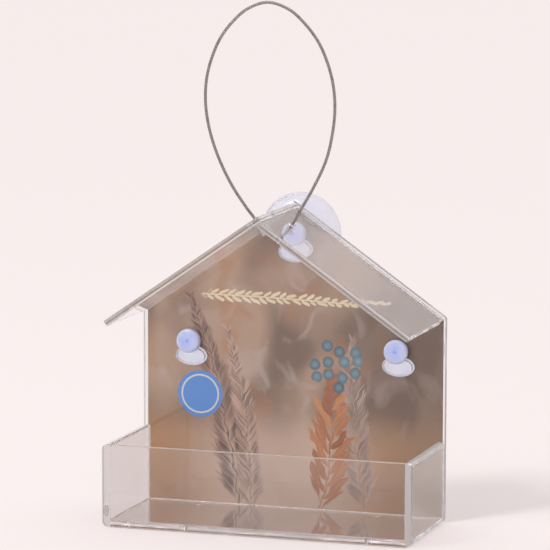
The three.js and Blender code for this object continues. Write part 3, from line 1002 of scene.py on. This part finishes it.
def make_crimp_sleeves():
    top_round, end = SLEEVE_RADIUS - SLEEVE_ROUND, SLEEVE_LENGTH
    straight = SLEEVE_LENGTH - 2 * SLEEVE_ROUND
    outline = [(SLEEVE_BORE, 0.0), (top_round, 0.0)]
    bow(outline, SLEEVE_ROUND_STEPS, (SLEEVE_RADIUS, 0.0), (SLEEVE_RADIUS, SLEEVE_ROUND))
    outline += [
        (SLEEVE_RADIUS, SLEEVE_ROUND + straight * step / SLEEVE_STEPS) for step in range(1, SLEEVE_STEPS)
    ]
    outline += [(SLEEVE_RADIUS, end - SLEEVE_ROUND)]
    bow(outline, SLEEVE_ROUND_STEPS, (SLEEVE_RADIUS, end), (top_round, end))
    outline += [(SLEEVE_BORE, end)]
    sleeves = []
    lean = Z * math.cos(ROPE_LEAN) - Y * math.sin(ROPE_LEAN)
    for side, sign in (("left", -1), ("right", 1)):
        top = X * sign * SLEEVE_TOP[0] + lean * SLEEVE_TOP[1] + Z * ROPE_PIVOT_HEIGHT
        down = (-X * sign * math.sin(ROOF_SLOPE) - lean * math.cos(ROOF_SLOPE)).normalized()
        across = down.cross(Y).normalized()
        mesh = turned(side + "_crimp_sleeve", outline, top, down, across, SLEEVE_SIDES, pressed_in)
        sleeve = piece_of(side + "_crimp_sleeve", mesh, [PRESSED_ALUMINIUM], "hanger")
        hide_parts("cable_sleeve_" + side)
        sleeves.append(sleeve)
    return sleeves


# Acrylic sheets
def merged_copy(node):
    """The solid's own shape as flat faces, drawn from a copy of its loose triangles. The faces are
    parted through the middle of each hole, so that none of them has a hole in it."""
    shape = bmesh.new()
    shape.from_mesh(NODES[node].data)
    bmesh.ops.remove_doubles(shape, verts=shape.verts, dist=SAME_POINT)
    for axis, place in HOLE_LINES.get(node, ()):
        parts = [*shape.verts, *shape.edges, *shape.faces]
        cut = bmesh.ops.bisect_plane(
            shape, geom=parts, dist=SAME_POINT, plane_co=axis * place * MM, plane_no=axis
        )
        for part in cut["geom_cut"]:
            if isinstance(part, bmesh.types.BMEdge):
                part.seam = True
    bmesh.ops.dissolve_limit(
        shape, angle_limit=FLAT_ENOUGH, verts=shape.verts, edges=shape.edges, delimit={"SEAM"}
    )
    return shape


def on_weld(place, welded):
    """Whether a point lies in one of a sheet's welded faces, each given as an axis and a distance."""
    return any(abs(place[axis] - distance * MM) < 2 * WELD_GAP for axis, distance in welded)


def rounded(shape, name, welded):
    """The shape with its free sharp edges slightly rounded, as a plain mesh."""
    weights = shape.edges.layers.float.new("bevel_weight_edge")
    for edge in shape.edges:
        held = all(on_weld(corner.co, welded) for corner in edge.verts)
        sharp = edge.calc_face_angle(0.0) > ROUNDED_FROM
        edge[weights] = float(sharp and not held)
    source = link(bpy.data.objects.new(name + "_plain", mesh_of(name, shape)))
    bevel = source.modifiers.new("rounded_edges", "BEVEL")
    bevel.width = SHEET_ROUND
    bevel.segments = ROUND_STEPS
    bevel.limit_method = "WEIGHT"
    bevel.use_clamp_overlap = False
    return settled(name, source)


def in_keyhole(place):
    """Whether a point of the back panel or card lies in a keyhole's wall."""
    if place.y < PANEL_FRONT * MM:
        return False
    return any(
        (Vector((place.x, place.z)) - Vector((across, up - KEYHOLE_DROP)) * MM).length < KEYHOLE_REACH * MM
        for across, up in CUP_PLACES.values()
    )


def make_sheets():
    """Each sheet from its solid, given with two directions along it, its welded faces, the material
    of its faces, and the tone and finish of its sawn edges. Its other materials are those of its
    keyholes and of the floor's welded faces."""
    left_run = Vector((math.cos(ROOF_SLOPE), 0, math.sin(ROOF_SLOPE)))
    right_run = Vector((math.cos(ROOF_SLOPE), 0, -math.sin(ROOF_SLOPE)))
    back, front = (1, TRAY_BACK), (1, -TRAY_BACK)
    ends = (0, TRAY_SIDE), (0, -TRAY_SIDE)
    # Sawn edge tones set sheet by sheet as painted light and shade: the front's darker and warm, the left
    # wall's lit and light, the right wall's shaded and dark
    warm, light, dark, plain, roof = (
        (0.64, 0.56, 0.50, 1), (0.88, 0.86, 0.86, 1), (0.68, 0.66, 0.66, 1), (0.82, 0.80, 0.80, 1),
        (0.84, 0.81, 0.80, 1),
    )
    for name, node, along, up, welded, clear, tone, finish in (
        ("back_sheet", "back_panel", X, Z, (), CLEAR_ACRYLIC, plain, FROSTED),
        ("front_sheet", "front_panel", X, Z, (), LIT_FRONT_ACRYLIC, warm, FROSTED),
        ("left_wall_sheet", "side_panel_left", Y, Z, (back, front), SHADED_WALL_ACRYLIC, light, FROSTED),
        ("right_wall_sheet", "side_panel_right", Y, Z, (back, front), SHADED_WALL_ACRYLIC, dark, FROSTED),
        ("floor_sheet", "floor_panel", X, Y, (*ends, back, front), SHADED_TRAY_FLOOR_ACRYLIC, plain, FROSTED),
        ("left_roof_sheet", "roof_panel_left", left_run, Y, (back,), ROOF_ACRYLIC, roof, POLISHED),
        ("right_roof_sheet", "roof_panel_right", right_run, Y, (back,), ROOF_ACRYLIC, roof, POLISHED),
    ):
        shape = merged_copy(node)
        for axis, place in welded:
            for corner in shape.verts:
                if abs(corner.co[axis] - place * MM) < WELD_GAP:
                    corner.co[axis] -= math.copysign(WELD_GAP, place)
        mesh = rounded(shape, name, welded)
        through = along.cross(up)
        for face in mesh.polygons:
            edge = abs(face.normal.dot(through)) < FACE_SHARE
            face.material_index = (2 if in_keyhole(face.center) else 1) if edge else 0
            if name == "floor_sheet" and on_weld(face.center, welded):
                face.material_index = 3
        heights = [corner.co.dot(through) for corner in mesh.vertices]
        cut = name.replace("sheet", "sawn_edge")
        sawn = sawn_acrylic(cut, along, up, min(heights), max(heights), tone, finish)
        sheet = piece_of(name, mesh, [clear, sawn, MILLED_ACRYLIC, WELDED_EDGE])
        mesh.polygons.foreach_set("use_smooth", [face.material_index > 0 for face in mesh.polygons])
        mesh.set_sharp_from_angle(angle=SHEET_CREASE)
        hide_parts(node)


# Solvent welds
def weld_corners():
    """Each inside corner that is welded: its two ends, and the two directions that the bead fills."""
    def at(side, depth, height=FLOOR_TOP):
        return Vector((side * TRAY_SIDE, depth, height))

    back, front = TRAY_BACK, -TRAY_BACK
    corners = [(at(-1, back), at(1, back), -Y, Z), (at(-1, front), at(1, front), Y, Z)]
    for side in (-1, 1):
        corners.append((at(side, front), at(side, back), -X * side, Z))
        for depth, inward in ((back, -Y), (front, Y)):
            corners.append((at(side, depth), at(side, depth, UPRIGHT_WELD_TOP), -X * side, inward))
    return corners


def weld_beads():
    """Small hollow beads of solvent in every welded corner, uneven as they ran."""
    shape = bmesh.new()
    for number, (start, end, first, second) in enumerate(weld_corners()):
        start, end = start * MM, end * MM
        steps = max(FEWEST_WELD_STEPS, round((end - start).length / WELD_STEP))
        rings = []
        for step in range(steps + 1):
            long_wave = noise.noise(Vector((number * 7.1, step * 0.31, 0)))
            short_wave = noise.noise(Vector((number, step * 1.1, 3)))
            radius = WELD_RADIUS * (0.85 + 0.45 * (long_wave + 0.5 * short_wave))
            corner = start.lerp(end, step / steps) + (first + second) * WELD_GAP
            ring = [shape.verts.new(corner)]
            for turn in range(WELD_STEPS + 1):
                angle = math.pi / 2 * turn / WELD_STEPS
                reach = first * radius * (1 - math.sin(angle)) + second * radius * (1 - math.cos(angle))
                ring.append(shape.verts.new(corner + reach))
            rings.append(ring)
        skin(shape, rings)
        for ring in (rings[0], rings[-1]):
            shape.faces.new(ring)
    bmesh.ops.recalc_face_normals(shape, faces=shape.faces)
    mesh = mesh_of("weld_beads", shape)
    piece_of("weld_beads", mesh, [SOLVENT_WELD])
    mesh.set_sharp_from_angle(angle=WELD_CREASE)


def solvent_drops():
    """Drops that squeezed out along the welds, scattered with a fixed seed."""
    group, tree, given, made = geometry_group("solvent_drops", {
        "Spacing": 2.6 * MM,
        "Smallest": 0.10 * MM,
        "Largest": 0.42 * MM,
        "Spread": 0.5 * MM,
        "Seed": 11,
    })
    line = tree.made("GeometryNodeMeshToCurve", {0: given["Geometry"]})
    dots = {"Curve": line, "Length": given["Spacing"]}
    dots = tree.made("GeometryNodeCurveToPoints", dots, "Points", mode="LENGTH")
    shift = tree.add("FunctionNodeRandomValue", data_type="FLOAT_VECTOR")
    tree.fill(shift, {0: (-1, -1, 0), 1: (1, 1, 0), "Seed": given["Seed"]})
    offset = tree.vector("SCALE", shift.outputs[0], given["Spread"])
    moved = tree.made("GeometryNodeSetPosition", {"Geometry": dots, "Offset": offset})
    luck = tree.add("FunctionNodeRandomValue", data_type="FLOAT")
    tree.fill(luck, {2: given["Smallest"], 3: given["Largest"], "Seed": tree.plus(given["Seed"], 5.0)})
    radius = luck.outputs[1]
    size = tree.combine(radius, radius, tree.times(radius, 0.45))
    ball = tree.made("GeometryNodeMeshIcoSphere", {"Radius": 1.0, "Subdivisions": 2})
    drops = {"Points": moved, "Instance": ball, "Scale": size}
    finish_geometry(tree, made, tree.made("GeometryNodeInstanceOnPoints", drops), SOLVENT_WELD)
    return group


def ellipsoids(name, balls, material):
    """Balls given by their places and half sizes in millimetres, as one piece of the feeder."""
    shape = bmesh.new()
    for place, half_sizes in balls:
        fit = Matrix.LocRotScale(Vector(place) * MM, None, Vector(half_sizes) * MM)
        bmesh.ops.create_icosphere(shape, subdivisions=3, radius=1.0, matrix=fit)
    piece_of(name, mesh_of(name, shape), [material])


def solvent_dome():
    """A dried drop that stands on the tray's floor."""
    place, radius, height = SOLVENT_DOME
    profile = [(0, 0)]
    for step in range(DOME_STEPS + 1):
        turn = math.pi / 2 * step / DOME_STEPS
        profile.append((radius * math.cos(turn) * MM, height * math.sin(turn) * MM))
    mesh = turned("solvent_dome", profile, Vector(place) * MM, Z, X, DOME_SIDES)
    piece_of("solvent_dome", mesh, [DRIED_SOLVENT])
    mesh.set_sharp_from_angle(angle=WELD_CREASE)


def make_welds():
    weld_beads()
    solvent_dome()
    ellipsoids("dried_smear", [SMEAR], DRIED_SOLVENT)
    # White slivers as painted glints of the drain holes, seen through the front's edge
    ellipsoids("painted_hole_glints", HOLE_GLINT_SLIVERS, MILLED_ACRYLIC)
    rows = []
    for start, end, first, second in weld_corners():
        if second == Z:
            off = first * DROPS_ASIDE + Z * DROPS_RAISED
            rows.append([(start.lerp(end, share) + off) * MM for share in DROPS_SHARES])
    mesh = grown("solvent_drops", line_mesh("weld_lines", rows), solvent_drops())
    piece_of("solvent_drops", mesh, [], smooth=False)


def make_card():
    shape = merged_copy("backing_card")
    for corner in shape.verts:
        if abs(corner.co.y - CARD_FRONT) < SAME_POINT * 10:
            corner.co.y += CARD_GAP
    mesh = mesh_of("printed_house_card", shape)
    for face in mesh.polygons:
        edge = abs(face.normal.y) < FACE_SHARE
        face.material_index = (2 if in_keyhole(face.center) else 1) if edge else int(face.normal.y > 0)
    materials = [PRINTED_CARD, CARD_BOARD, SHADED_CUT_BOARD]
    card = piece_of("printed_house_card", mesh, materials, smooth=False)
    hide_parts("backing_card")


# Floor, world and lamps
def make_ground():
    """A pale floor that glows a little to the eye, but lights nothing with that glow."""
    shape = bmesh.new()
    bmesh.ops.create_grid(shape, x_segments=8, y_segments=8, size=GROUND_SIZE)
    bmesh.ops.translate(shape, verts=shape.verts, vec=Z * GROUND_LEVEL)
    ground = link(bpy.data.objects.new("studio_floor", mesh_of("studio_floor", shape)))
    material = bpy.data.materials.new("studio_floor")
    tree = bare_tree(material)
    lit = tree.made("ShaderNodeBsdfDiffuse", {"Color": BACKGROUND})
    glow = tree.made("ShaderNodeEmission", {"Color": BACKGROUND, "Strength": 1.0})
    spread = tree.add("ShaderNodeLightPath").outputs["Is Diffuse Ray"]
    chosen = tree.blend(spread, tree.blend(FLOOR_GLOW, lit, glow), lit)
    tree.fill(tree.add("ShaderNodeOutputMaterial"), {"Surface": chosen})
    ground.data.materials.append(material)


def make_world():
    """A world that shows the background's colour and lights with a plain white one."""
    world = bpy.data.worlds.new("studio")
    tree = bare_tree(world)
    seen = tree.made("ShaderNodeBackground", {"Color": BACKGROUND, "Strength": 1.0})
    light = tree.made("ShaderNodeBackground", {"Color": (1, 1, 1, 1), "Strength": SKY_LIGHT})
    spread = tree.add("ShaderNodeLightPath").outputs["Is Diffuse Ray"]
    tree.fill(tree.add("ShaderNodeOutputWorld"), {"Surface": tree.blend(spread, seen, light)})
    SCENE.world = world


def make_lamp(name, kind, towards, strength, **settings):
    data = bpy.data.lights.new(name, kind)
    data.energy = strength
    for label, value in settings.items():
        setattr(data, label, value)
    lamp = link(bpy.data.objects.new(name, data))
    lamp.location = LAMP_TARGET + towards * LAMP_DISTANCE
    lamp.rotation_mode = "QUATERNION"
    lamp.rotation_quaternion = (-towards).to_track_quat("-Z", "Y")


def make_lamps():
    make_lamp("soft_sun", "SUN", direction(-38, 46), 0.95, angle=math.radians(14))
    make_lamp("window_softbox", "AREA", direction(-42, 38), 1.6, shape="RECTANGLE", size=0.45, size_y=0.6)


ROPE, ROUTE = make_rope()
SLEEVES = make_crimp_sleeves()
make_sheets()
make_card()
make_welds()
make_suction_cups()
make_ground()
make_world()
make_lamps()

SCENE.view_settings.view_transform = "Standard"
SCENE.cycles.max_bounces = 24
SCENE.cycles.transmission_bounces = 24
SCENE.cycles.glossy_bounces = 24
SCENE.cycles.transparent_max_bounces = 32
